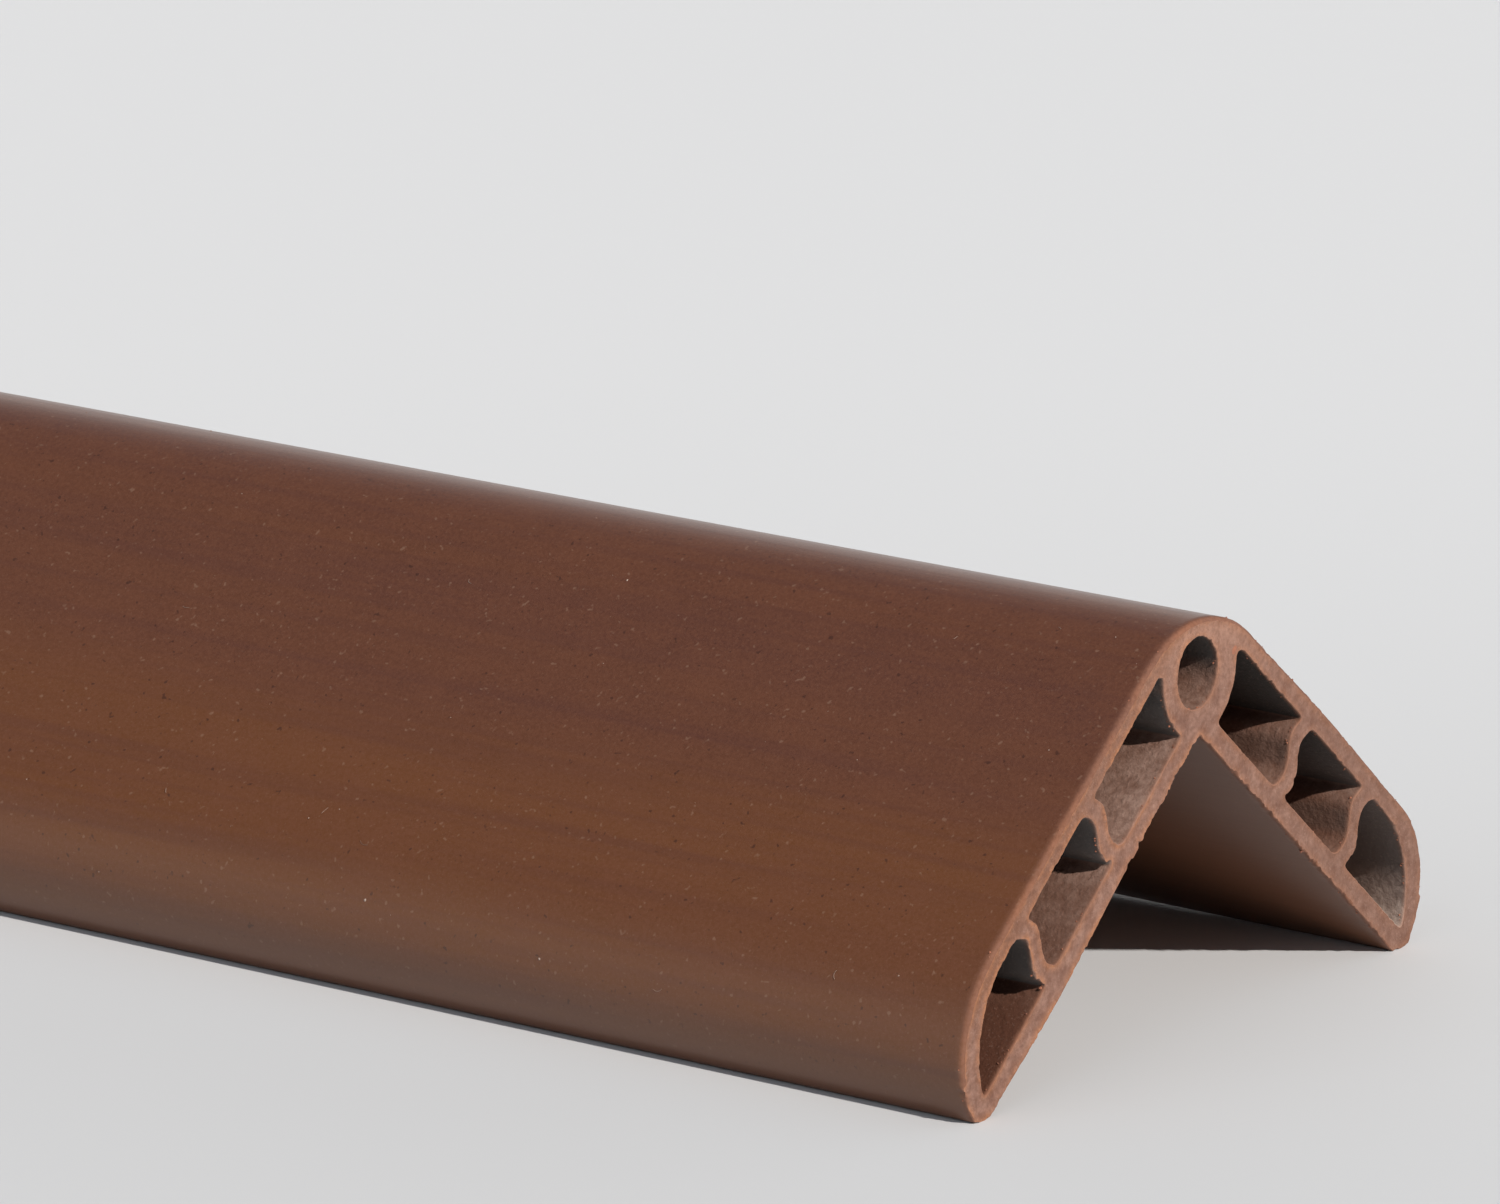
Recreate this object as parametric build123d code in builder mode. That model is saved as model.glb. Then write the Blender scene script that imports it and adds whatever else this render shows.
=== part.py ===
from build123d import *

import os
from math import asin, cos, degrees, floor, radians, sin, sqrt, tan

# A hollow edge guard for an outside corner, one extruded length of soft rubber.
# It lies on the tips of its two wings, like a roof: X runs along it, Y across it and Z up.
# The floor is at z = 0, and the origin is on the floor under the middle of the length.

# Driving dimensions, in millimetres and degrees
LENGTH = 1000.0  # one length of stock, cut square at both ends
CORNER_ANGLE = 98.0  # between the two inner faces, with the soft wings a little open
WING = 65.0  # from the inner corner to the tip, along the inner face
THICKNESS = 16.6  # from the inner face to the outer face
INNER_WALL = 3.3
OUTER_WALL = 2.9
OUTER_CORNER_RADIUS = 18.8  # the rounded ridge outside the corner
INNER_CORNER_RADIUS = 1.0
RIDGE_WALL = 2.6  # from the round bore up to the top of the ridge
CORNER_WALL = 3.3  # from the bore down to the inner corner
TUBE_WALL = 3.5  # from the bore to the cells beside it
WEB_THICKNESS = 3.0
WEB_START = 22.0  # from the inner corner to the middle of the first web
WEB_PITCH = 19.6
WEB_SWAY = 1.0  # how far each half of a web bows to its side
CELL_CORNER_RADIUS = 0.8
TIP_WALL = 3.2  # from the point of the last cell to the tip
TIP_CELL_RADIUS = 16.0  # the rounded roof of the last cell
FOOT = 3.7  # the narrow flat that each wing stands on
FOOT_EDGE_RADIUS = 0.8

# What follows from them: s runs along a wing from the inner corner, t from its inner face outwards
half_angle = radians(CORNER_ANGLE / 2)
half_length = LENGTH / 2
foot_heel = WING - FOOT * sin(half_angle)
foot_toe = FOOT * cos(half_angle)
corner_height = foot_heel * cos(half_angle)
tip_radius = THICKNESS - foot_toe
ceiling = THICKNESS - OUTER_WALL

# The rounds outside and inside the corner, about points on the middle plane, and the tube between them
middle_turn = 90 - CORNER_ANGLE / 2
inner_centre = (INNER_CORNER_RADIUS / tan(half_angle), -INNER_CORNER_RADIUS)
ridge_centre = (-(THICKNESS - OUTER_CORNER_RADIUS) / tan(half_angle), THICKNESS - OUTER_CORNER_RADIUS)
ridge_rise = (THICKNESS - OUTER_CORNER_RADIUS) / sin(half_angle) + OUTER_CORNER_RADIUS
bore_radius = (ridge_rise - RIDGE_WALL - CORNER_WALL) / 2
bore_rise = CORNER_WALL + bore_radius
tube_radius = bore_radius + TUBE_WALL
tube_centre = (-bore_rise * cos(half_angle), bore_rise * sin(half_angle))

# The last cell's roof, which meets the inner wall at a point near the tip
last_cell_end = WING - TIP_WALL
roof_drop = INNER_WALL - (ceiling - TIP_CELL_RADIUS)
roof_start = degrees(asin(roof_drop / TIP_CELL_RADIUS))
roof_centre = (last_cell_end - sqrt(TIP_CELL_RADIUS**2 - roof_drop**2), ceiling - TIP_CELL_RADIUS)

# Webs repeat along the wing while at least half a pitch is left for the last cell
web_count = floor((last_cell_end - WEB_START) / WEB_PITCH + 0.5)
web_places = [WEB_START + k * WEB_PITCH for k in range(web_count)]

# Each wing's section is drawn in (s, t), on a plane that faces along the length
wing_plane = Plane(
    origin=(0, 0, corner_height),
    x_dir=(0, sin(half_angle), -cos(half_angle)),
    z_dir=(1, 0, 0),
)
bore_plane = Plane(origin=(0, 0, corner_height + bore_rise), x_dir=(0, 1, 0), z_dir=(1, 0, 0))


def web_side(s):
    """One side of a web: it bows towards the tip above the inner wall, then towards the corner."""
    rise = (ceiling - INNER_WALL) / 3
    return Spline(
        (s, INNER_WALL),
        (s + WEB_SWAY, INNER_WALL + rise),
        (s - WEB_SWAY, ceiling - rise),
        (s, ceiling),
        tangents=[(0, 1), (0, 1)],
    )


with BuildPart() as edge_guard:
    # One wing, up to the middle plane
    with BuildSketch(wing_plane) as wing_outline:
        with BuildLine():
            tip_round = CenterArc((WING - tip_radius, foot_toe), tip_radius, 0, 90)
            ridge_round = CenterArc(ridge_centre, OUTER_CORNER_RADIUS, 90, middle_turn)
            inner_round = CenterArc(inner_centre, INNER_CORNER_RADIUS, 90, middle_turn)
            Line(tip_round @ 1, ridge_round @ 0)
            Line(ridge_round @ 1, inner_round @ 1)
            Polyline(inner_round @ 0, (foot_heel, 0), tip_round @ 0)
        make_face()
        foot_ends = [Vertex(foot_heel, 0), Vertex(tip_round @ 0)]
        foot_edges = [wing_outline.vertices().sort_by_distance(end)[0] for end in foot_ends]
        fillet(foot_edges, FOOT_EDGE_RADIUS)
    extrude(amount=half_length, both=True)

    # The cells of that wing: its hollow, less the tube's wall and the webs
    with BuildSketch(wing_plane) as cells:
        with BuildLine():
            roof = CenterArc(roof_centre, TIP_CELL_RADIUS, roof_start, 90 - roof_start)
            Polyline(roof @ 1, (tube_centre[0], ceiling), (tube_centre[0], INNER_WALL), roof @ 0)
        make_face()
        with Locations(tube_centre):
            Circle(tube_radius, mode=Mode.SUBTRACT)
        for place in web_places:
            with BuildLine():
                near = web_side(place - WEB_THICKNESS / 2)
                far = web_side(place + WEB_THICKNESS / 2)
                Line(near @ 0, far @ 0)
                Line(near @ 1, far @ 1)
            make_face(mode=Mode.SUBTRACT)
        smooth_join = Vertex(roof @ 1)
        cell_corners = cells.vertices().filter_by(lambda v: v.distance(smooth_join) > CELL_CORNER_RADIUS)
        fillet(cell_corners, CELL_CORNER_RADIUS)
    extrude(amount=half_length, both=True, mode=Mode.SUBTRACT)

    mirror(about=Plane.XZ)

    with BuildSketch(bore_plane):
        Circle(bore_radius)
    extrude(amount=half_length, both=True, mode=Mode.SUBTRACT)

edge_guard.part.label = "edge_guard"
os.makedirs("parts", exist_ok=True)
export_step(edge_guard.part, "parts/edge_guard.step")
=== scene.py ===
"""A hollow rubber edge guard on a pale floor: its satin skin, its cells and its cut ends."""
import math
import random

import bpy
import numpy as np
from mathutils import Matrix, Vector, kdtree, noise
from mathutils.geometry import delaunay_2d_cdt


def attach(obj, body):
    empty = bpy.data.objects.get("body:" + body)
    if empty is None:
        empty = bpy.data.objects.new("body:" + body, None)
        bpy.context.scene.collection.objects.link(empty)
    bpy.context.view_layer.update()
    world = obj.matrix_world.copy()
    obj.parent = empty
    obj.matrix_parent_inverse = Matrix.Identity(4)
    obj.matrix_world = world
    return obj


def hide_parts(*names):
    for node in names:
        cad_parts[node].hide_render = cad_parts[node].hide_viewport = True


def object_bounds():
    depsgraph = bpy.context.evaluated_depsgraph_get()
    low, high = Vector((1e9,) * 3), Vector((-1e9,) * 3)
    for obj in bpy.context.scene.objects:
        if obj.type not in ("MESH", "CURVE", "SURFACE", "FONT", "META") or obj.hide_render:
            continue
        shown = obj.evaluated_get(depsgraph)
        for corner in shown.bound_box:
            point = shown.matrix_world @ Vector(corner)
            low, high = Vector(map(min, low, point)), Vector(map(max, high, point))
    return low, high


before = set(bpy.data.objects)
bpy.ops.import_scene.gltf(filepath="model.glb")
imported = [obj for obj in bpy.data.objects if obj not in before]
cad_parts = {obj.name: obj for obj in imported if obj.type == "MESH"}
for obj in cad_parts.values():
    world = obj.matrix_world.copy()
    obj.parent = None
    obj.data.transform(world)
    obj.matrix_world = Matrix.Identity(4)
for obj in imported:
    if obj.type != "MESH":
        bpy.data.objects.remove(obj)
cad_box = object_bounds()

MM = 0.001

# The section, in millimetres: s runs along a wing from the inner corner, t from its inner face outwards
HALF_ANGLE = math.radians(49.0)  # half of the angle between the two inner faces
WING = 65.0
THICKNESS = 16.6
INNER_WALL = 3.3
OUTER_WALL = 2.9
RIDGE_RADIUS = 18.8
RIDGE_WALL = 2.6
CORNER_WALL = 3.3
TUBE_WALL = 3.5
WEB_THICKNESS = 3.0
WEB_PLACES = (22.0, 41.6)
CELL_CORNER_RADIUS = 0.8
TIP_CELL_RADIUS = 16.0
FOOT = 3.7

# Where this length of soft stock strays a little from that section, near wing first
NEAR, FAR = -1, 1
WEB_SWAYS = {NEAR: 1.0, FAR: 1.15}  # how far each half of a web bows to its side
TIP_WALLS = {NEAR: 3.5, FAR: 3.0}
BORE_SHIFT = (-0.6, 0.3)
BORE_SQUEEZE = 0.93
FAR_FACE_BULGE = 0.4
NEAR_FACE_BOW = 0.8  # how far the near wing's inner face bows in
BOW_SKEW = 1.7  # moves that bow down the face
NEAR_TIP_REACH = 17.4  # from the near tip to where its flatter round starts

SIN, COS = math.sin(HALF_ANGLE), math.cos(HALF_ANGLE)
HALF_LENGTH = cad_box[1].x / MM
FOOT_HEEL = WING - FOOT * SIN
FOOT_TOE = FOOT * COS
CORNER_HEIGHT = FOOT_HEEL * COS
CEILING = THICKNESS - OUTER_WALL
RIDGE_RISE = (THICKNESS - RIDGE_RADIUS) / SIN + RIDGE_RADIUS
BORE_RADIUS = (RIDGE_RISE - RIDGE_WALL - CORNER_WALL) / 2
BORE_RISE = CORNER_WALL + BORE_RADIUS
TUBE_RADIUS = BORE_RADIUS + TUBE_WALL

# How finely the mesh is made, in millimetres
EDGE_STEP = 0.32  # along the outlines of a cut end
EDGE_SOFTNESS = 0.5  # how far the outline's corners are softened, and the hollows'
CELL_SOFTNESS = 0.75
BODY_STEP = 4.0  # along the flats of the section, away from the ends
BODY_TURN = math.radians(8)
CUT_GRID = 0.5  # between points on a cut face
CUT_ROW = 0.866 * CUT_GRID
CUT_JITTER, CUT_SEED = 0.12, 4
CUT_RIM_GAP = 0.6 * CUT_GRID  # between the rim and the first of those points
END_DEPTHS = (0.0, 0.05, 0.15, 0.4, 0.8, 1.4)  # closely set rings behind a cut
BODY_DEPTHS = (2.2, 4.0, 7.0, 12.0, 20.0, 32.0, 48.0)  # wider rings further in
BODY_PITCH = 25.0

# How unevenly the soft rubber lies and was cut, in millimetres
SKIN_INSET = 0.1  # leaves room for dust and crumbs within the true size
SKIN_WAVE = 0.12
WAVE_SIZE, WAVE_STRETCH = 18.0, (0.16, 1, 1)
FOOT_CLEARANCE = 2.0  # below this height both fade out, so that the feet stand flat
FAR_HEEL_LIFT = 0.17  # close behind the near cut the far wing stands just clear of the floor
FAR_TOE_LIFT = 3.0  # and the toe of its foot a little higher
LIFT_DEPTH = 58.0
LIFT_SPREAD = 24.0
EDGE_ROUND = 0.14
SKIN_EDGE_ROUND = 0.55  # along the smooth outside
FAR_EDGE_ROUND = 0.5  # along the far wing's outer face
EDGE_NICKS = 0.7
SKIN_NICKS = 0.5  # share of that on the smooth outside
CELL_NICKS = 0.3  # and round the hollows
CEILING_NICKS = 0.5  # more of it under the outer walls
NICK_SIZE, FINE_NICK_SIZE = 1.2, 0.55
RAGGED_SIZE = 6.0  # length of the stretches that are torn more or less
CUT_ROUGHNESS = 0.09
CUT_DIMPLE_SIZES = (0.9, 4.0)
RIM_WIDTH = 0.6  # over which the worn rims of a cut change colour
OUTSIDE_FACING = -0.2  # what faces further down than this isn't the smooth outside
FAR_FACING = 0.2  # and what faces further across is the far wing's

REGION_SKIN, REGION_CELLS, REGION_CUT = range(3)

# Small loose things, in millimetres: how many, how large, and the seeds for their places
DUST_SEED, CRUMB_SEED = 11, 23
DUST_COUNT = 620
DUST_SIZE, DUST_EXTRA = 0.1, 0.28  # the smallest speck, and what the largest has more
DUST_REACH = (0.35, 0.65)  # share of its size from its middle to its uneven edge
DUST_RISE, DUST_SINK = 0.3, 0.1  # shares of its size above and below the skin
DUST_FACING = 0.1  # dust lies on what faces up more than this
DUST_END_GAP = 2.0
FIBRE_COUNT = 40
FIBRE_LENGTHS, FIBRE_THICKNESS = (0.6, 1.6), 0.06
FIBRE_BEND = 0.5  # share of its length, to either side
FIBRE_LIFT = 0.6  # share of its thickness
CRUMB_SHARE = 0.14  # crumbs for each point of a rim
CRUMB_SIZE, CRUMB_EXTRA = 0.16, 0.26
CRUMB_REACH = (0.65, 1.25)  # how far its corners stray from half its size
CRUMB_WIDTH = 0.8
CRUMB_STRETCH = (0.7, 1.5)
CRUMB_DEPTH = 0.4  # how far behind the cut a crumb may sit, beyond its own size
CRUMBS_LOST = 0.7  # share of them that the smooth outside doesn't hold
CRUMB_FLOOR_GAP = 1.0

# The larger torn bits: their place as (wing, s, t), their size and how long they are
TORN_PLACES = (
    ((NEAR, 18.6, -0.25), 0.7, 1.6),
    ((NEAR, 30.5, -0.1), 0.5, 1.2),
    ((NEAR, 44.0, 3.6), 0.6, 1.0),
    ((FAR, 33.0, 0.0), 0.5, 1.0),
)
TORN_DEPTH = 0.64  # share of its size that a torn bit's middle is behind the cut
FLAP_PLACE, FLAP_SIZE = (FAR, -0.3, 13.0), 2.4
FLAP_DEPTH = 0.12
FLAP_RISE, FLAP_SINK = 0.048, 0.01  # shares of its size

# Colours of the skin, the cells, the cut ends and the loose bits, in linear light
# The cool tone is also painted shade along the ridge
SKIN_COOL, SKIN_WARM = (0.083, 0.0315, 0.027, 1), (0.16, 0.058, 0.0165, 1)
SKIN_PATCH = (0.15, 0.056, 0.03, 1)
SKIN_GRAIN = (0.178, 0.072, 0.042, 1)
SKIN_GRIT = (0.36, 0.24, 0.18, 1)
SKIN_LINE = (0.085, 0.034, 0.03, 1)
SKIN_PALE_SPOT, SKIN_DARK_SPOT = (0.42, 0.28, 0.2, 1), (0.04, 0.017, 0.014, 1)
# Painted light: a paler, greyer glow on the skin low down near the floor, for the floor's light thrown back
# onto it
SKIN_FOOT_PAINTED_GLOW = (0.3, 0.19, 0.125, 1)
# Painted tone for the faces that look down and are lit only from below: a shaded copy of the skin colour,
# warmer against the cool sky they reflect
SKIN_UNDERSIDE = (0.121, 0.0525, 0.0305, 1)
SKIN_RIM_DULL, SKIN_RIM_BRIGHT = (0.2, 0.1, 0.07, 1), (0.26, 0.118, 0.072, 1)
# The cells' ceilings take painted shade: neutral greys that differ from cell to cell
CEILING_NEAR_TIP, CEILING_NEAR = (0.11, 0.096, 0.088, 1), (0.155, 0.142, 0.134, 1)
CEILING_FAR, CEILING_FAR_TIP = (0.055, 0.05, 0.046, 1), (0.152, 0.126, 0.114, 1)
CELL_BARE_TIP, CELL_BARE = (0.108, 0.046, 0.03, 1), (0.135, 0.062, 0.04, 1)
CELL_BLOOM, CELL_BLOOM_FAR_TIP = (0.36, 0.235, 0.19, 1), (0.45, 0.36, 0.315, 1)
CELL_GRIT = (0.42, 0.3, 0.25, 1)
CELL_RIM = (0.29, 0.14, 0.09, 1)
CUT_DARK, CUT_PALE = (0.175, 0.09, 0.067, 1), (0.305, 0.18, 0.141, 1)
CUT_RIDGE = (0.38, 0.216, 0.158, 1)
CUT_FAR_WING = (0.17, 0.095, 0.071, 1)
CUT_OUTER_WALL = (0.185, 0.083, 0.048, 1)
CUT_RIM = (0.385, 0.172, 0.09, 1)
CUT_PITS = (0.13, 0.065, 0.045, 1)
CUT_GRIT = (0.4, 0.27, 0.22, 1)
DUST_BROWN, DUST_PALE = (0.22, 0.13, 0.095, 1), (0.46, 0.36, 0.3, 1)
TORN_BROWN, TORN_ORANGE = (0.22, 0.095, 0.064, 1), (0.4, 0.158, 0.092, 1)
TORN_GRIT = (0.42, 0.28, 0.22, 1)

# The floor, in metres, the tones of the floor, which is painted lighter towards the back as painted light, and
# the tones of the light around it
FLOOR_REACH = 40.0
FLOOR_FRONT, FLOOR_BACK = (0.63, 0.645, 0.667, 1), (0.692, 0.708, 0.732, 1)
TO_THE_BACK, FLOOR_TURN = (-0.595, 0.804, 0), (-0.4, 0.1)  # the way there, and where the tone changes
SKY_LOW, SKY_HIGH = (0.84, 0.82, 0.79, 1), (0.065, 0.064, 0.064, 1)
FILL_AROUND, FILL_BEHIND = (0.016, 0.018, 0.022, 1), (1.25, 1.25, 1.25, 1)

# Lamps: name, strength, colour, and in degrees how wide each is, its side round from +X and its height
LAMPS = (
    ("main_lamp", 3.97, (1.0, 0.935, 0.865), 1.5, -9, 37),
    ("overhead_lamp", 0.62, (0.8, 0.9, 1.0), 120, -135, 80),
    ("side_lamp", 0.58, (0.87, 0.94, 1.0), 60, -100, 22),
)

# The camera, in metres, degrees and millimetres of lens
CAMERA_PLACE = (1.326, -1.2155, 0.446)
CAMERA_TILT, CAMERA_TURN = 75.233, 36.503
CAMERA_LENS, CAMERA_SENSOR = 278.2, 36.0


def arc(centre, radius, start, end, count=32):
    """Points along an arc, from one angle to another in degrees."""
    turn = np.radians(np.linspace(start, end, count))
    return np.column_stack((centre[0] + radius * np.cos(turn), centre[1] + radius * np.sin(turn)))


def web_side(s, sway, count=40):
    """One side of a web from the inner wall up to the ceiling, with its gentle S."""
    rise = np.linspace(0, 1, count)
    return np.column_stack((s + sway * np.sin(2 * np.pi * rise), INNER_WALL + (CEILING - INNER_WALL) * rise))


def half_outline(bulge, bow, reach, count=40):
    """The outside of one wing, from the inner corner round its tip to the top of the ridge."""
    tip_rise = THICKNESS - FOOT_TOE
    tip_centre = (WING - reach, FOOT_TOE)
    tip_round = arc((0, 0), 1, 0, 90) * (reach, tip_rise) + tip_centre
    ridge_centre = (-(THICKNESS - RIDGE_RADIUS) * COS / SIN, THICKNESS - RIDGE_RADIUS)
    share = np.linspace(0, 1, count)
    inner_face = np.column_stack((FOOT_HEEL * share, -bow * np.sin(np.pi * share**BOW_SKEW) ** 2))
    outer_face = np.column_stack((
        tip_centre[0] + (ridge_centre[0] - tip_centre[0]) * share,
        THICKNESS + bulge * np.sin(np.pi * share) ** 2,
    ))
    return np.vstack((
        inner_face,
        tip_round,
        outer_face[1:-1],
        arc(ridge_centre, RIDGE_RADIUS, 90, 180 - math.degrees(HALF_ANGLE)),
    ))


def tube_side():
    """The tube's side of the first cell, from the inner wall up to the rounded apex under the ceiling."""
    centre = (-BORE_RISE * COS, BORE_RISE * SIN)
    foot = math.degrees(math.asin((INNER_WALL - centre[1]) / TUBE_RADIUS))
    rise = CEILING - CELL_CORNER_RADIUS - centre[1]
    reach = math.sqrt((TUBE_RADIUS + CELL_CORNER_RADIUS) ** 2 - rise**2)
    touch = math.degrees(math.atan2(rise, reach))
    apex = (centre[0] + reach, centre[1] + rise)
    return np.vstack((
        arc(centre, TUBE_RADIUS, foot, touch),
        arc(apex, CELL_CORNER_RADIUS, touch + 180, 90, 12)[1:],
    ))


def wing_cells(side):
    """The hollow cells of one wing: beside the tube, between the webs, and in the tip."""
    sway = WEB_SWAYS[side]
    cell_start = tube_side()
    cells = []
    for place in WEB_PLACES:
        cells.append(np.vstack((web_side(place - WEB_THICKNESS / 2, sway), cell_start[::-1])))
        cell_start = web_side(place + WEB_THICKNESS / 2, sway)
    roof_base = CEILING - TIP_CELL_RADIUS
    drop = INNER_WALL - roof_base
    roof_centre = (WING - TIP_WALLS[side] - math.sqrt(TIP_CELL_RADIUS**2 - drop**2), roof_base)
    roof_start = math.degrees(math.asin(drop / TIP_CELL_RADIUS))
    cells.append(np.vstack((arc(roof_centre, TIP_CELL_RADIUS, roof_start, 90), cell_start[::-1])))
    return cells


def across(points, side):
    """Wing points as points across the section: y, and z above the floor."""
    s, t = points[:, 0], points[:, 1]
    return np.column_stack((side * (s * SIN + t * COS), CORNER_HEIGHT - s * COS + t * SIN))


def even_loop(points, softness):
    """A closed outline with evenly spaced points and softened corners."""
    closed = np.vstack((points, points[:1]))
    run = np.concatenate(([0], np.cumsum(np.linalg.norm(np.diff(closed, axis=0), axis=1))))
    finer = 3
    count = finer * round(run[-1] / EDGE_STEP)
    at = np.linspace(0, run[-1], count, endpoint=False)
    dense = np.column_stack([np.interp(at, run, closed[:, k]) for k in (0, 1)])
    spread = softness * count / run[-1]
    reach = int(4 * spread)
    offsets = range(-reach, reach + 1)
    weights = [math.exp(-0.5 * (k / spread) ** 2) for k in offsets]
    soft = sum(w * np.roll(dense, k, axis=0) for k, w in zip(offsets, weights)) / sum(weights)
    return soft[::finer]


def turned(loop, anticlockwise):
    """The loop in the wanted direction, so that the rubber is always on its left."""
    y, z = loop[:, 0], loop[:, 1]
    area = np.sum(y * np.roll(z, -1) - z * np.roll(y, -1))
    return loop if (area > 0) == anticlockwise else loop[::-1]


def section_loops():
    """The outline first, then the bore and the six cells."""
    far = half_outline(FAR_FACE_BULGE, 0.0, THICKNESS - FOOT_TOE)
    near = half_outline(0.0, NEAR_FACE_BOW, NEAR_TIP_REACH)
    outline = np.vstack((across(far, FAR), across(near[::-1], NEAR)[1:-1]))
    bore = arc((0, 0), BORE_RADIUS, 0, 360)[:-1] * (BORE_SQUEEZE, 1)
    bore += np.array(BORE_SHIFT) + (0, CORNER_HEIGHT + BORE_RISE)
    hollows = [bore] + [across(cell, side) for side in (NEAR, FAR) for cell in wing_cells(side)]
    rounded = [turned(even_loop(hollow, CELL_SOFTNESS), False) for hollow in hollows]
    return [turned(even_loop(outline, EDGE_SOFTNESS), True)] + rounded


def outward(loop):
    """Unit normals of a loop, out of the rubber."""
    along = np.roll(loop, -1, axis=0) - np.roll(loop, 1, axis=0)
    along /= np.linalg.norm(along, axis=1)[:, None]
    return np.column_stack((along[:, 1], -along[:, 0]))


def body_points(loop):
    """Which points of a loop the long body keeps: many on the rounds, few on the flats."""
    ahead = np.roll(loop, -1, axis=0) - loop
    gap = np.linalg.norm(ahead, axis=1)
    heading = np.unwrap(np.arctan2(ahead[:, 1], ahead[:, 0]))
    kept, turn, gone = [0], 0.0, 0.0
    for k in range(1, len(loop)):
        turn += abs(heading[k] - heading[k - 1])
        gone += gap[k - 1]
        if turn > BODY_TURN or gone > BODY_STEP:
            kept.append(k)
            turn = gone = 0.0
    return np.array(kept)


def noise_at(points, size, shift=0.0):
    """Smooth noise from -1 to 1 at each point, with features of that size."""
    return np.array([noise.noise(Vector(p) / size + Vector((shift, shift, shift))) for p in points])


def lying(x, points):
    """Section points at x along the length, with the far wing's slight lift close behind the near cut."""
    y, z = points[:, 0], points[:, 1]
    heel = FOOT_HEEL * SIN
    share = np.clip(y / heel, 0, 1)
    toe = np.clip((y - heel) / FOOT, 0, 1) * np.clip(1 - z / THICKNESS, 0, 1)
    here = math.exp(-(((HALF_LENGTH - x - LIFT_DEPTH) / LIFT_SPREAD) ** 2))
    lift = here * (FAR_HEEL_LIFT * share + FAR_TOE_LIFT * toe)
    return np.column_stack((np.full(len(points), x), y, z + lift))


def worn_edge(spots, normals, depth, skin):
    """How far the edge of a cut is torn back and rounded off, at that depth behind it."""
    outside = skin & (normals[:, 1] > OUTSIDE_FACING)
    hollow = CELL_NICKS + CEILING_NICKS * np.clip(-normals[:, 1], 0, 1)
    ragged = np.where(outside, SKIN_NICKS, 1.0) if skin else hollow
    ragged = ragged * np.clip(0.45 + 1.2 * noise_at(spots, RAGGED_SIZE, 1.7), 0.1, 1)
    torn = noise_at(spots, NICK_SIZE, 7.3) + 0.8 * noise_at(spots, FINE_NICK_SIZE, 2.1)
    nicks = EDGE_NICKS * ragged * (1 - depth / END_DEPTHS[-1]) ** 2 * np.clip(torn, -0.3, 1)
    radius = np.where(outside, SKIN_EDGE_ROUND, EDGE_ROUND)
    radius = np.where(outside & (normals[:, 0] > FAR_FACING), FAR_EDGE_ROUND, radius)
    return nicks + radius * np.clip(1 - depth / radius, 0, 1) ** 2


def ring(loop, normals, end, depth, skin):
    """One ring of the body at that depth behind a cut end, with its waves and its worn edge."""
    x = end * (HALF_LENGTH - depth)
    spots = np.column_stack((np.full(len(loop), x), loop))
    inset = np.zeros(len(loop))
    if skin:
        clear_of_floor = np.clip(loop[:, 1] / FOOT_CLEARANCE, 0, 1)
        wave = 0.5 + 0.5 * noise_at(spots * WAVE_STRETCH, WAVE_SIZE)
        inset += clear_of_floor * (SKIN_INSET + SKIN_WAVE * wave)
    if depth <= END_DEPTHS[-1]:
        inset += worn_edge(spots, normals, depth, skin)
    worn_loop = loop - normals * inset[:, None]
    worn_loop[:, 1] = np.maximum(worn_loop[:, 1], 0)
    return lying(x, worn_loop)


def ring_depths():
    """Each ring from the near cut end to the far one: its end, its depth, and whether it has all the points."""
    middle = HALF_LENGTH - BODY_DEPTHS[-1]
    count = round(2 * middle / BODY_PITCH)
    steps = [BODY_DEPTHS[-1] + 2 * middle * k / count for k in range(1, count)]
    near = [(1, d, True) for d in END_DEPTHS] + [(1, d, False) for d in BODY_DEPTHS]
    between = [(1, d, False) for d in steps]
    far = [(-end, depth, fine) for end, depth, fine in near[::-1]]
    return near + between + far


def stretch_of(ids, kept, k):
    """The points of a full ring from one kept point to the next."""
    start = kept[k]
    stop = kept[k + 1] if k + 1 < len(kept) else len(ids)
    return [ids[j % len(ids)] for j in range(start, stop + 1)]


def stitched(run, pair):
    """Triangles between a run of points and the two that face it, all in order round them."""
    half = len(run) // 2
    first, last = pair
    corners = [(run[j], run[j + 1], last if j < half else first) for j in range(len(run) - 1)]
    return [[int(v) for v in corner] for corner in corners + [(run[half], first, last)]]


def join_rings(first, second, kept):
    """Faces between two rings of a loop, of which either may have only the kept points."""
    (a, a_fine), (b, b_fine) = first, second
    count = len(kept) if a_fine != b_fine else len(a)
    faces = []
    for k in range(count):
        after = (k + 1) % count
        edge_a, edge_b = [a[after], a[k]], [b[k], b[after]]
        if a_fine == b_fine:
            faces.append([int(v) for v in edge_b + edge_a])
        elif a_fine:
            faces += stitched(stretch_of(a, kept, k)[::-1], edge_b)
        else:
            faces += stitched(stretch_of(b, kept, k), edge_a)
    return faces


def in_rubber(points, loops):
    """Which points lie in the rubber: inside the outline and in no hollow."""
    y, z = points[:, 0], points[:, 1]
    inside = np.zeros(len(points), bool)
    for loop in loops:
        for (y0, z0), (y1, z1) in zip(loop, np.roll(loop, -1, axis=0)):
            if z0 != z1:
                crosses = ((z0 > z) != (z1 > z)) & (y < y0 + (z - z0) * (y1 - y0) / (z1 - z0))
                inside ^= crosses
    return inside


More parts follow.
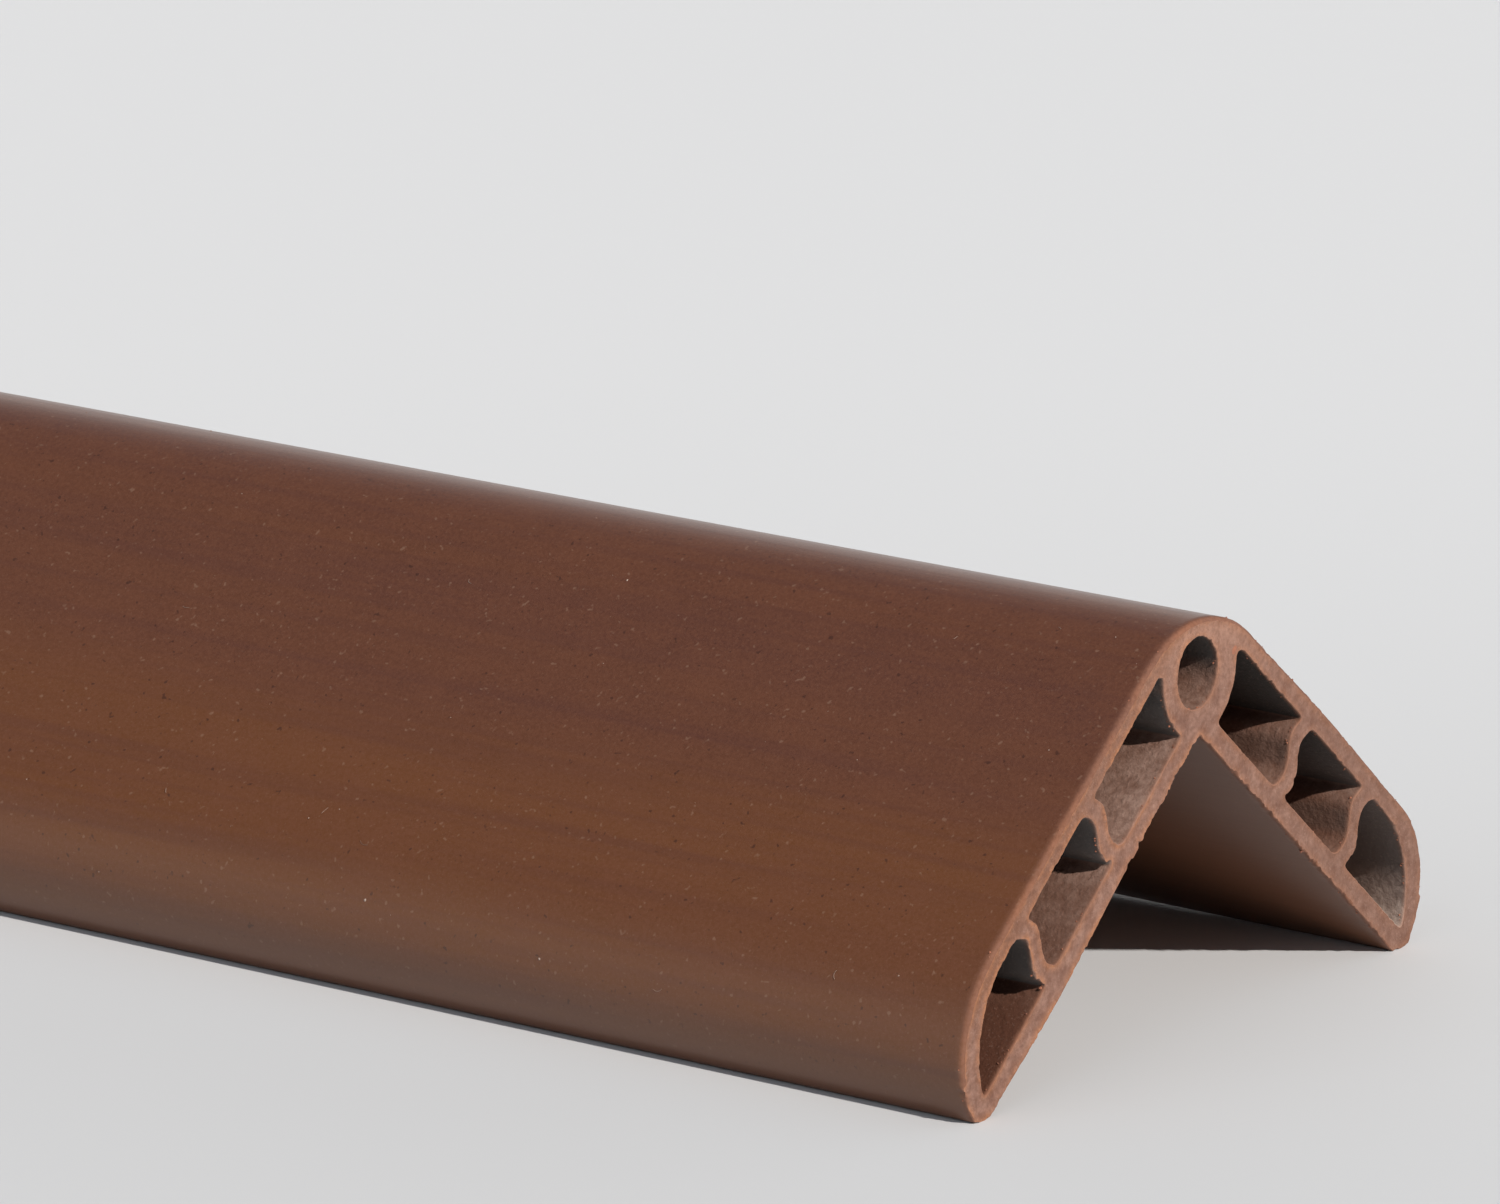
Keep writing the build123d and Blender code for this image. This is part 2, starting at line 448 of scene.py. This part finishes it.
def cut_face(loops, draw):
    """Points spread over a cut face, how far each is from a rim, and triangles that join them all."""
    rim = np.vstack(loops)
    low, high = rim.min(axis=0), rim.max(axis=0)
    rows = np.arange(low[1], high[1], CUT_ROW)
    grid = np.array([
        (y + (k % 2) * CUT_GRID / 2 + draw.uniform(-1, 1) * CUT_JITTER, z + draw.uniform(-1, 1) * CUT_JITTER)
        for k, z in enumerate(rows)
        for y in np.arange(low[0], high[0], CUT_GRID)
    ])
    grid = grid[in_rubber(grid, loops)]
    tree = kdtree.KDTree(len(rim))
    for k, (y, z) in enumerate(rim):
        tree.insert((y, z, 0), k)
    tree.balance()
    reach = np.array([tree.find((y, z, 0))[2] for y, z in grid])
    clear = reach > CUT_RIM_GAP
    grid, reach = grid[clear], reach[clear]
    edges, start = [], 0
    for loop in loops:
        edges += [(start + k, start + (k + 1) % len(loop)) for k in range(len(loop))]
        start += len(loop)
    points = np.vstack((rim, grid))
    made = delaunay_2d_cdt([Vector(p) for p in points], edges, [], 1, 1e-6)
    source = [origin[0] for origin in made[3]]
    triangles = np.array([[source[v] for v in face] for face in made[2]])
    middles = points[triangles].mean(axis=1)
    return grid, reach, triangles[in_rubber(middles, loops)]


def guard_mesh(loops):
    """The whole guard as one closed mesh: skin, cells and both cut ends."""
    rings = ring_depths()
    points, worn, faces, regions = [], [], [], []
    rims = {1: [], -1: []}
    total = 0

    for number, loop in enumerate(loops):
        normals = outward(loop)
        kept = body_points(loop)
        before = None
        for end, depth, fine in rings:
            chosen = np.arange(len(loop)) if fine else kept
            points.append(ring(loop[chosen], normals[chosen], end, depth, number == 0))
            worn.append(np.full(len(chosen), math.exp(-depth / RIM_WIDTH)))
            ids = total + np.arange(len(chosen))
            total += len(chosen)
            if depth == 0:
                rims[end].append((ids, points[-1][:, 1:]))
            if before is not None:
                made = join_rings(before, (ids, fine), kept)
                faces += made
                regions += [REGION_CELLS if number else REGION_SKIN] * len(made)
            before = (ids, fine)

    for end, rim in rims.items():
        grid, reach, triangles = cut_face([outline for _, outline in rim], random.Random(CUT_SEED + end))
        spots = np.column_stack((grid, grid[:, :1]))
        fine_size, broad_size = CUT_DIMPLE_SIZES
        fine_dimples = 0.5 + 0.5 * noise_at(spots, fine_size, 3.0 * end)
        depth = fine_dimples + 0.5 + 0.5 * noise_at(spots, broad_size, 5.0 * end)
        x = end * (HALF_LENGTH - CUT_ROUGHNESS * depth)
        points.append(np.column_stack((x, grid)))
        worn.append(np.exp(-reach / RIM_WIDTH))
        ids = np.concatenate([ids for ids, _ in rim] + [total + np.arange(len(grid))])
        total += len(grid)
        faces += [list(face) for face in ids[triangles][:, ::end]]
        regions += [REGION_CUT] * len(triangles)

    return np.vstack(points) * MM, faces, regions, np.concatenate(worn)


def show(name, data):
    """Puts a mesh, a lamp or a camera in the scene."""
    made = bpy.data.objects.new(name, data)
    bpy.context.scene.collection.objects.link(made)
    return made


def new_piece(name, points, faces, materials, regions=None):
    """A shown piece of the guard from its points and faces, smooth where it has regions."""
    mesh = bpy.data.meshes.new(name)
    mesh.from_pydata([tuple(p) for p in points], [], faces)
    for material in materials:
        mesh.materials.append(material)
    if regions is not None:
        mesh.polygons.foreach_set("material_index", regions)
    mesh.polygons.foreach_set("use_smooth", [regions is not None] * len(mesh.polygons))
    mesh.validate()
    mesh.update()
    piece = show(name, mesh)
    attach(piece, "root")
    return piece


def sharpen_rims(mesh):
    """Keeps the edge between each cut face and the walls behind it crisp."""
    regions_beside = {}
    for face in mesh.polygons:
        for key in face.edge_keys:
            regions_beside.setdefault(key, set()).add(face.material_index == REGION_CUT)
    sharp = [len(regions_beside[edge.key]) > 1 for edge in mesh.edges]
    mesh.attributes.new("sharp_edge", "BOOLEAN", "EDGE").data.foreach_set("value", sharp)


def frame_at(normal, draw):
    """Three directions for a small thing on a surface: two along it, turned at random, and its normal."""
    normal = Vector(normal).normalized()
    first = normal.orthogonal().normalized()
    second = normal.cross(first)
    turn = draw.uniform(0, 2 * math.pi)
    return (first * math.cos(turn) + second * math.sin(turn),
            second * math.cos(turn) - first * math.sin(turn), normal)


def flake(place, normal, size, draw, rise=DUST_RISE, sink=DUST_SINK):
    """A speck of dust or a thin flap: a low, uneven dome."""
    first, second, up = frame_at(normal, draw)
    sides = 6
    points = [place + up * size * rise]
    for k in range(sides):
        turn = 2 * math.pi * k / sides
        reach = size * draw.uniform(*DUST_REACH)
        points.append(place + first * reach * math.cos(turn) + second * reach * math.sin(turn)
                      - up * size * sink)
    faces = [(0, 1 + k, 1 + (k + 1) % sides) for k in range(sides)]
    return points, faces + [tuple(range(sides, 0, -1))]


def fibre(place, normal, length, thickness, draw):
    """A short curled fibre that lies on the skin."""
    first, second, up = frame_at(normal, draw)
    bend = draw.uniform(-FIBRE_BEND, FIBRE_BEND)
    steps, sides = 7, 4
    points, faces = [], []
    for k in range(steps):
        along = k / (steps - 1) - 0.5
        curl = second * length * bend * (0.25 - along**2) * 2
        middle = place + first * length * along + curl + up * thickness * FIBRE_LIFT
        for j in range(sides):
            turn = 2 * math.pi * j / sides
            points.append(middle + (second * math.cos(turn) + up * math.sin(turn)) * thickness / 2)
    for k in range(steps - 1):
        for j in range(sides):
            a, b = k * sides + j, k * sides + (j + 1) % sides
            faces.append((b, b + sides, a + sides, a))
    faces += [tuple(range(sides - 1, -1, -1)), tuple(range(len(points) - sides, len(points)))]
    return points, faces


def crumb(place, normal, size, draw, long=1.0):
    """A crumb of torn rubber: a lump with twelve uneven corners."""
    first, second, up = frame_at(normal, draw)
    sides, level, ring_reach = 5, math.sqrt(0.2), math.sqrt(0.8)
    corners = [(0, 0, 1)]
    for height, shift in ((level, 0.0), (-level, 0.5)):
        for k in range(sides):
            turn = 2 * math.pi * (k + shift) / sides
            corners.append((ring_reach * math.cos(turn), ring_reach * math.sin(turn), height))
    corners.append((0, 0, -1))
    points = []
    for x, y, z in corners:
        reach = size / 2 * draw.uniform(*CRUMB_REACH)
        points.append(place + first * x * reach + second * y * reach * CRUMB_WIDTH + up * z * reach * long)
    faces = []
    for k in range(sides):
        top, next_top = 1 + k, 1 + (k + 1) % sides
        low, next_low = top + sides, next_top + sides
        faces += [(0, top, next_top), (top, low, next_top), (next_top, low, next_low),
                  (low, len(corners) - 1, next_low)]
    return points, faces


def joined(things):
    """Many small meshes as one list of points, in metres, and one of faces."""
    points, faces = [], []
    for some_points, some_faces in things:
        faces += [[v + len(points) for v in face] for face in some_faces]
        points += [p * MM for p in some_points]
    return points, faces


def skin_spot(loop, normals, outside, draw):
    """A random place on the smooth outside, and the direction that it faces."""
    k = draw.choice(outside)
    end, depth = draw.choice((1, -1)), draw.uniform(DUST_END_GAP, HALF_LENGTH)
    place = ring(loop[[k]], normals[[k]], end, depth, True)[0]
    return Vector(place), Vector((0, *normals[k]))


def loose_dust(loop):
    """Specks of pale dust and a few short fibres on the smooth outside."""
    draw = random.Random(DUST_SEED)
    normals = outward(loop)
    outside = [int(k) for k in np.flatnonzero(normals[:, 1] > DUST_FACING)]
    things = []
    for _ in range(DUST_COUNT):
        size = DUST_SIZE + DUST_EXTRA * draw.random() ** 4
        things.append(flake(*skin_spot(loop, normals, outside, draw), size, draw))
    for _ in range(FIBRE_COUNT):
        place, normal = skin_spot(loop, normals, outside, draw)
        things.append(fibre(place, normal, draw.uniform(*FIBRE_LENGTHS), FIBRE_THICKNESS, draw))
    return joined(things)


def rim_crumbs(loop, end, skin, draw):
    """Crumbs along one rim of a cut."""
    normals = outward(loop)
    crumbs = []
    for _ in range(round(len(loop) * CRUMB_SHARE)):
        k = draw.randrange(len(loop))
        size = CRUMB_SIZE + CRUMB_EXTRA * draw.random() ** 2
        smooth = skin and normals[k, 1] > OUTSIDE_FACING
        if smooth and draw.random() < CRUMBS_LOST or loop[k, 1] < CRUMB_FLOOR_GAP:
            continue
        place = ring(loop[[k]], normals[[k]], end, size + draw.uniform(0.0, CRUMB_DEPTH), skin)[0]
        crumbs.append(crumb(Vector(place), (0, *normals[k]), size, draw, draw.uniform(*CRUMB_STRETCH)))
    return crumbs


def on_cut(wing_place, end, depth):
    """A place on a cut end, from its (wing, s, t) and its depth behind the cut."""
    side, s, t = wing_place
    return Vector((end * (HALF_LENGTH - depth), *across(np.array([(s, t)]), side)[0]))


def torn_crumbs(loops):
    """Crumbs and slivers of rubber along the rims of both cuts, and the torn flap beside the tube."""
    draw = random.Random(CRUMB_SEED)
    things = []
    for end in (1, -1):
        for number, loop in enumerate(loops):
            things += rim_crumbs(loop, end, number == 0, draw)
        for wing_place, size, long in TORN_PLACES:
            leaning = (0, -0.5 * wing_place[0], 0.8)
            things.append(crumb(on_cut(wing_place, end, TORN_DEPTH * size), leaning, size, draw, long))
    flap = on_cut(FLAP_PLACE, 1, FLAP_DEPTH)
    things.append(flake(flap, (1, 0, 0), FLAP_SIZE, draw, FLAP_RISE, FLAP_SINK))
    return joined(things)


class Nodes:
    """A short way to place and join nodes in a material, a world or a group."""

    PITCH = 180  # from one node to the next in the editor

    def __init__(self, tree):
        self.tree = tree
        self.column = 0

    def join(self, value, socket):
        """Links one socket to another, or sets a plain value on it."""
        if isinstance(value, bpy.types.NodeSocket):
            self.tree.links.new(value, socket)
        else:
            socket.default_value = value

    def add(self, kind, inputs=None, **settings):
        """A new node with its settings, and its inputs by name or number."""
        made = self.tree.nodes.new(kind)
        made.location = (self.column * self.PITCH, 0)
        self.column += 1
        for name, value in settings.items():
            setattr(made, name, value)
        for name, value in (inputs or {}).items():
            self.join(value, made.inputs[name])
        return made

    def mix(self, share, first, second):
        """One colour over another."""
        return self.add("ShaderNodeMix", {0: share, 6: first, 7: second}, data_type="RGBA").outputs[2]

    def noise(self, where, scale, detail=2.0, roughness=0.5):
        values = {"Vector": where, "Scale": scale, "Detail": detail, "Roughness": roughness}
        return self.add("ShaderNodeTexNoise", values).outputs["Fac"]

    def ramp(self, value, low, high, to_low=0.0, to_high=1.0, kind="LINEAR"):
        """The value spread from one range to another, and held at its ends."""
        values = {"Value": value, "From Min": low, "From Max": high, "To Min": to_low, "To Max": to_high}
        return self.add("ShaderNodeMapRange", values, clamp=True, interpolation_type=kind).outputs[0]

    def band(self, value, start, end, to_low=0.0, to_high=1.0):
        """A ramp between two places, in millimetres."""
        return self.ramp(value, start * MM, end * MM, to_low, to_high)

    def math(self, operation, first, second):
        return self.add("ShaderNodeMath", {0: first, 1: second}, operation=operation).outputs[0]

    def times(self, first, second):
        return self.math("MULTIPLY", first, second)

    def along(self, place, direction):
        """How far a place is along a direction."""
        made = self.add("ShaderNodeVectorMath", {0: place, 1: direction}, operation="DOT_PRODUCT")
        return made.outputs["Value"]

    def parts(self, vector):
        return self.add("ShaderNodeSeparateXYZ", {"Vector": vector}).outputs


class Finish(Nodes):
    """One finish of the guard: its shader, its place on the guard and the colour painted so far."""

    def __init__(self, name, gloss=0.5):
        self.material = bpy.data.materials.new(name)
        self.material.use_nodes = True
        self.material.node_tree.nodes.clear()
        super().__init__(self.material.node_tree)
        self.place = self.add("ShaderNodeTexCoord").outputs["Object"]
        self.shader = self.add("ShaderNodeBsdfPrincipled", {"Specular IOR Level": gloss})
        self.add("ShaderNodeOutputMaterial", {"Surface": self.shader.outputs[0]})
        self.colour = None

    def effect(self, group, values):
        """A shared effect at this finish's own scale."""
        return self.add("ShaderNodeGroup", {"Place": self.place, **values}, node_tree=group).outputs

    def worn_rim(self):
        """How close to a cut's rim the surface is, from 0 to 1 at the rim."""
        return self.add("ShaderNodeAttribute", attribute_name="cut_rim").outputs["Fac"]

    def facing_up(self):
        """How far the surface faces up, from -1 to 1."""
        return self.parts(self.add("ShaderNodeNewGeometry").outputs["Normal"])["Z"]

    def paint(self, mask, colour):
        """Lays a colour over what is there, as far as the mask says."""
        self.colour = self.mix(mask, self.colour, colour)

    def done(self, roughness, height, strength, distance):
        """The material, with its colour, its roughness and a bump of that distance in millimetres."""
        bump = self.add("ShaderNodeBump", {"Height": height, "Strength": strength, "Distance": distance * MM})
        self.join(self.colour, self.shader.inputs["Base Color"])
        self.join(roughness, self.shader.inputs["Roughness"])
        self.join(bump.outputs[0], self.shader.inputs["Normal"])
        return self.material


def new_group(name, inputs, outputs):
    """An empty shader node group with named sockets."""
    tree = bpy.data.node_groups.new(name, "ShaderNodeTree")
    for label, kind, value in inputs:
        socket = tree.interface.new_socket(label, in_out="INPUT", socket_type=kind)
        if value is not None:
            socket.default_value = value
    for label, kind in outputs:
        tree.interface.new_socket(label, in_out="OUTPUT", socket_type=kind)
    nodes = Nodes(tree)
    start = nodes.add("NodeGroupInput").outputs
    finish = tree.nodes.new("NodeGroupOutput").inputs
    return nodes, start, finish


def fine_grain_group():
    """Grain of rubber at two sizes: a height for the bump, and a mask of small pale grit."""
    nodes, start, finish = new_group(
        "fine_grain",
        [("Place", "NodeSocketVector", None), ("Grain Scale", "NodeSocketFloat", 1500.0)],
        [("Height", "NodeSocketFloat"), ("Grit", "NodeSocketFloat")],
    )
    coarse = nodes.noise(start["Place"], start["Grain Scale"], 5.0, 0.65)
    grit = nodes.noise(start["Place"], nodes.times(start["Grain Scale"], 2.3), 3.0, 0.6)
    nodes.join(coarse, finish["Height"])
    nodes.join(nodes.ramp(grit, 0.57, 0.72), finish["Grit"])
    return nodes.tree


def soft_mottle_group():
    """Soft clouds, stretched along the length where wanted, and faint lines left by the die."""
    nodes, start, finish = new_group(
        "soft_mottle",
        [("Place", "NodeSocketVector", None), ("Cloud Scale", "NodeSocketFloat", 26.0),
         ("Line Scale", "NodeSocketFloat", 420.0), ("Stretch", "NodeSocketVector", (1.0, 1.0, 1.0))],
        [("Clouds", "NodeSocketFloat"), ("Lines", "NodeSocketFloat")],
    )
    along = nodes.add("ShaderNodeMapping", {"Vector": start["Place"], "Scale": start["Stretch"]})
    clouds = nodes.noise(along.outputs[0], start["Cloud Scale"], 4.0, 0.55)
    drawn = nodes.add("ShaderNodeMapping", {"Vector": start["Place"], "Scale": (0.02, 1.0, 1.0)})
    lines = nodes.noise(drawn.outputs[0], start["Line Scale"], 2.0, 0.5)
    nodes.join(nodes.ramp(clouds, 0.32, 0.68), finish["Clouds"])
    nodes.join(lines, finish["Lines"])
    return nodes.tree


def satin_skin(grain, mottle):
    """The smooth outside: soft clouds along the length, faint lines from the die, fine grit."""
    skin = Finish("satin_skin", gloss=0.45)
    fine = skin.effect(grain, {"Grain Scale": 1900.0})
    broad = skin.effect(mottle, {"Cloud Scale": 62.0, "Stretch": (0.035, 1.0, 1.0)})
    worn = skin.worn_rim()
    rise = skin.parts(skin.place)["Z"]
    underside = skin.ramp(skin.facing_up(), -0.2, -0.5)
    patches = skin.ramp(skin.noise(skin.place, 130.0, 4.0, 0.6), 0.35, 0.65)
    spots = skin.noise(skin.place, 1100.0, 1.0, 0.5)

    # Cool brown along the ridge, warmer towards the tips and in long streaks; the darker, cooler ridge is
    # painted shade, the streaks are the rubber's own mottle
    low = skin.times(skin.band(rise, 50.0, 14.0), 0.6)
    streaks = skin.times(broad["Clouds"], 0.4)
    skin.colour = skin.mix(skin.math("ADD", low, streaks), SKIN_COOL, SKIN_WARM)
    skin.paint(skin.times(patches, 0.3), SKIN_PATCH)
    skin.paint(skin.ramp(fine["Height"], 0.34, 0.66, 0.0, 0.48), SKIN_GRAIN)
    skin.paint(skin.times(fine["Grit"], 0.12), SKIN_GRIT)
    skin.paint(skin.ramp(broad["Lines"], 0.5, 0.7, 0.0, 0.25), SKIN_LINE)
    skin.paint(skin.ramp(spots, 0.69, 0.77, 0.0, 0.2), SKIN_PALE_SPOT)
    skin.paint(skin.ramp(spots, 0.3, 0.22, 0.0, 0.6), SKIN_DARK_SPOT)
    # Painted light: paler and greyer low down near the floor, standing in for the floor's bounce
    skin.paint(skin.band(rise, 10.5, 3.0, 0.0, 0.18), SKIN_FOOT_PAINTED_GLOW)
    # Painted tone: the faces that look down get their own warmer brown, a shaded copy of the skin colour
    skin.paint(skin.times(underside, 0.8), SKIN_UNDERSIDE)

    # The worn edge along a cut, broken up by the grain
    rim = skin.times(skin.ramp(worn, 0.12, 0.7, 0.0, 0.9), skin.ramp(fine["Height"], 0.35, 0.6, 0.6, 1.0))
    skin.paint(rim, skin.mix(patches, SKIN_RIM_DULL, SKIN_RIM_BRIGHT))

    # Satin all over, duller underneath and dullest at that edge
    worn_dullness = skin.ramp(worn, 0.1, 0.6, 0.3, 0.8)
    roughness = skin.math("MAXIMUM", worn_dullness, skin.ramp(underside, 0.0, 1.0, 0.3, 0.42))
    relief = skin.math("ADD", skin.times(broad["Lines"], 2.0), fine["Height"])
    return skin.done(roughness, relief, 0.45, 0.04)


def cell_walls(grain, mottle):
    """Inside the hollows: painted shade on what faces down, bare rubber and pale bloom on what faces up, most
    of the bloom near a cut.
    """
    walls = Finish("cell_walls", gloss=0.2)
    fine = walls.effect(grain, {"Grain Scale": 1000.0})
    broad = walls.effect(mottle, {"Cloud Scale": 380.0, "Line Scale": 900.0})
    worn = walls.worn_rim()
    up = walls.ramp(walls.facing_up(), -0.2, 0.45)
    place = walls.parts(walls.place)
    y = place["Y"]

    # Where bloom has settled, close behind a cut; how pale it shows differs by cell, partly bloom and partly
    # painted light: paler in the near wing's cells, painted darker in the far wing's
    near_cut = walls.band(walls.math("ABSOLUTE", place["X"], 0.0), HALF_LENGTH - 14.0, HALF_LENGTH, 0.3, 1.0)
    near_bloom_and_light = walls.band(y, -39.0, -12.0, 0.0, 1.35)
    far_painted_shade = walls.times(walls.band(y, -12.0, 8.0, 1.0, 0.48), walls.band(y, 20.0, 34.0, 1.0, 0.55))
    far_tip = walls.band(y, 36.0, 46.0, 0.0, 2.0)
    bloom_and_light_by_cell = walls.math("ADD", walls.times(near_bloom_and_light, far_painted_shade), far_tip)
    bloom = walls.times(walls.ramp(broad["Clouds"], 0.1, 0.9, 0.5, 1.0), near_cut)
    bloom = walls.times(bloom, walls.ramp(fine["Height"], 0.34, 0.66, 0.5, 1.1))
    bloom = walls.times(walls.times(bloom, up), bloom_and_light_by_cell)

    # Tones across the guard, from the near tip to the far one; the tones overhead are painted shade, set cell
    # by cell
    overhead = walls.mix(walls.band(y, -46.0, -30.0), CEILING_NEAR_TIP, CEILING_NEAR)
    overhead = walls.mix(walls.band(y, -15.0, 12.0), overhead, CEILING_FAR)
    overhead = walls.mix(walls.band(y, 28.0, 44.0), overhead, CEILING_FAR_TIP)
    bare = walls.mix(walls.band(y, -45.0, -15.0), CELL_BARE_TIP, CELL_BARE)
    pale = walls.mix(walls.band(y, 36.0, 47.0), CELL_BLOOM, CELL_BLOOM_FAR_TIP)

    # Painted shade on what faces down, the bare rubber on what faces up
    walls.colour = walls.mix(up, overhead, bare)
    walls.paint(bloom, pale)
    walls.paint(walls.times(fine["Grit"], 0.18), CELL_GRIT)
    walls.paint(walls.ramp(worn, 0.25, 1.0, 0.0, 0.7), CELL_RIM)
    return walls.done(walls.ramp(fine["Height"], 0.0, 1.0, 0.6, 0.85), fine["Height"], 0.8, 0.3)


def cut_rubber(grain, mottle):
    """The cut ends: pale pinkish brown, finely torn, and more orange along the rims in places."""
    cut = Finish("cut_rubber", gloss=0.15)
    fine = cut.effect(grain, {"Grain Scale": 1100.0})
    broad = cut.effect(mottle, {"Cloud Scale": 420.0, "Line Scale": 1200.0})
    worn = cut.worn_rim()
    place = cut.parts(cut.place)
    y, z = place["Y"], place["Z"]

    # Palest round the ridge, a little darker along the far wing
    cut.colour = cut.mix(broad["Clouds"], CUT_DARK, CUT_PALE)
    cut.paint(cut.band(z, 45.0, 54.5, 0.0, 0.65), CUT_RIDGE)
    cut.paint(cut.band(y, 5.0, 35.0, 0.0, 0.42), CUT_FAR_WING)

    # The near wing's outer wall is browner, most of all low down
    wall_start = CORNER_HEIGHT * SIN + CEILING
    outer_wall = cut.band(cut.along(cut.place, (0, -COS, SIN)), wall_start - 1.0, wall_start + 0.5)
    cut.paint(cut.times(outer_wall, cut.band(z, 12.0, 32.0, 0.8, 0.35)), CUT_OUTER_WALL)

    # Rims that are orange in patches, mostly on the near wing
    patches = cut.ramp(cut.noise(cut.place, 190.0, 3.0, 0.6), 0.35, 0.6, 0.2, 1.0)
    near_side = cut.band(y, -20.0, 30.0, 1.0, 0.35)
    cut.paint(cut.times(cut.ramp(worn, 0.05, 0.8, 0.0, 0.85), cut.times(patches, near_side)), CUT_RIM)

    cut.paint(cut.ramp(fine["Height"], 0.35, 0.6, 0.45, 0.0), CUT_PITS)
    cut.paint(cut.times(fine["Grit"], 0.3), CUT_GRIT)
    return cut.done(cut.ramp(fine["Height"], 0.0, 1.0, 0.7, 0.9), fine["Height"], 0.9, 0.3)


def pale_dust(grain, mottle):
    """Pale dust and lint."""
    dust = Finish("pale_dust")
    fine = dust.effect(grain, {"Grain Scale": 700.0})
    broad = dust.effect(mottle, {"Cloud Scale": 90.0})
    dust.colour = dust.mix(broad["Clouds"], DUST_BROWN, DUST_PALE)
    return dust.done(dust.ramp(fine["Height"], 0.0, 1.0, 0.75, 0.95), fine["Height"], 0.3, 0.05)


def torn_rubber(grain, mottle):
    """Torn bits of rubber, from orange to brown."""
    torn = Finish("torn_rubber")
    fine = torn.effect(grain, {"Grain Scale": 1500.0})
    broad = torn.effect(mottle, {"Cloud Scale": 500.0})
    torn.colour = torn.mix(broad["Clouds"], TORN_BROWN, TORN_ORANGE)
    torn.paint(torn.times(fine["Grit"], 0.4), TORN_GRIT)
    return torn.done(torn.ramp(fine["Height"], 0.0, 1.0, 0.7, 0.9), fine["Height"], 0.5, 0.1)


def pale_floor():
    """A wide pale floor, with painted light: a little lighter towards the back. It is see-through from below.
    """
    material = bpy.data.materials.new("pale_floor")
    material.use_nodes = True
    material.node_tree.nodes.clear()
    nodes = Nodes(material.node_tree)
    place = nodes.add("ShaderNodeTexCoord").outputs["Object"]
    # Painted light: the floor's tone grows lighter towards the back
    back = nodes.ramp(nodes.along(place, TO_THE_BACK), *FLOOR_TURN, kind="SMOOTHSTEP")
    colour = nodes.mix(back, FLOOR_FRONT, FLOOR_BACK)
    matte = {"Base Color": colour, "Roughness": 0.7, "Specular IOR Level": 0.1}
    shader = nodes.add("ShaderNodeBsdfPrincipled", matte)
    see_through = nodes.add("ShaderNodeBsdfTransparent")
    below = nodes.add("ShaderNodeNewGeometry").outputs["Backfacing"]
    both = nodes.add("ShaderNodeMixShader", {0: below, 1: shader.outputs[0], 2: see_through.outputs[0]})
    nodes.add("ShaderNodeOutputMaterial", {"Surface": both.outputs[0]})
    mesh = bpy.data.meshes.new("floor")
    corners = [(x * FLOOR_REACH, y * FLOOR_REACH, 0) for x, y in ((-1, -1), (1, -1), (1, 1), (-1, 1))]
    mesh.from_pydata(corners, [], [(0, 1, 2, 3)])
    mesh.materials.append(material)
    floor = show("floor", mesh)


def surroundings():
    """A pale surround for what the eye and the gloss see, and low light from behind for the rest."""
    world = bpy.data.worlds.new("surroundings")
    bpy.context.scene.world = world
    world.use_nodes = True
    world.node_tree.nodes.clear()
    nodes = Nodes(world.node_tree)
    path = nodes.add("ShaderNodeLightPath").outputs
    seen = nodes.math("MAXIMUM", path["Is Camera Ray"], path["Is Glossy Ray"])
    seen = nodes.math("MAXIMUM", seen, path["Is Transmission Ray"])
    direction = nodes.parts(nodes.add("ShaderNodeTexCoord").outputs["Generated"])
    sky = nodes.mix(nodes.ramp(direction["Z"], 0.12, 0.65), SKY_LOW, SKY_HIGH)
    behind = nodes.times(nodes.ramp(direction["Y"], 0.1, 0.5), nodes.ramp(direction["Z"], 0.6, 0.3))
    soft = nodes.mix(behind, FILL_AROUND, FILL_BEHIND)
    fill = nodes.add("ShaderNodeBackground", {"Color": soft, "Strength": 1.0})
    pale = nodes.add("ShaderNodeBackground", {"Color": sky, "Strength": 1.0})
    both = nodes.add("ShaderNodeMixShader", {0: seen, 1: fill.outputs[0], 2: pale.outputs[0]})
    nodes.add("ShaderNodeOutputWorld", {"Surface": both.outputs[0]})


def lamps():
    """A warm main lamp beyond the cut end, and two wide cool ones: overhead, and low beside the near wing."""
    for name, strength, colour, width, side, height in LAMPS:
        data = bpy.data.lights.new(name, "SUN")
        data.energy, data.color, data.angle = strength, colour, math.radians(width)
        turn, climb = math.radians(side), math.radians(height)
        falls = Vector((-math.cos(turn) * math.cos(climb), -math.sin(turn) * math.cos(climb), -math.sin(climb)))
        lamp = show(name, data)
        lamp.rotation_mode = "QUATERNION"
        lamp.rotation_quaternion = falls.to_track_quat("-Z", "Y")
        lamp.visible_glossy = False


def camera():
    """The view of the cut end from beside it, through a long lens."""
    data = bpy.data.cameras.new("camera")
    data.sensor_width, data.lens = CAMERA_SENSOR, CAMERA_LENS
    made = show("camera", data)
    made.location = CAMERA_PLACE
    made.rotation_euler = (math.radians(CAMERA_TILT), 0, math.radians(CAMERA_TURN))
    bpy.context.scene.camera = made


bpy.context.scene.view_settings.view_transform = "Standard"

effects = fine_grain_group(), soft_mottle_group()
loops = section_loops()
points, faces, regions, worn = guard_mesh(loops)
finishes = [satin_skin(*effects), cell_walls(*effects), cut_rubber(*effects)]
guard = new_piece("edge_guard_body", points, faces, finishes, regions)
guard.data.attributes.new("cut_rim", "FLOAT", "POINT").data.foreach_set("value", worn.astype(np.float32))
sharpen_rims(guard.data)
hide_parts("edge_guard")
crumbs = new_piece("torn_crumbs", *torn_crumbs(loops), [torn_rubber(*effects)])
new_piece("loose_dust", *loose_dust(loops[0]), [pale_dust(*effects)])

pale_floor()
surroundings()
lamps()
camera()
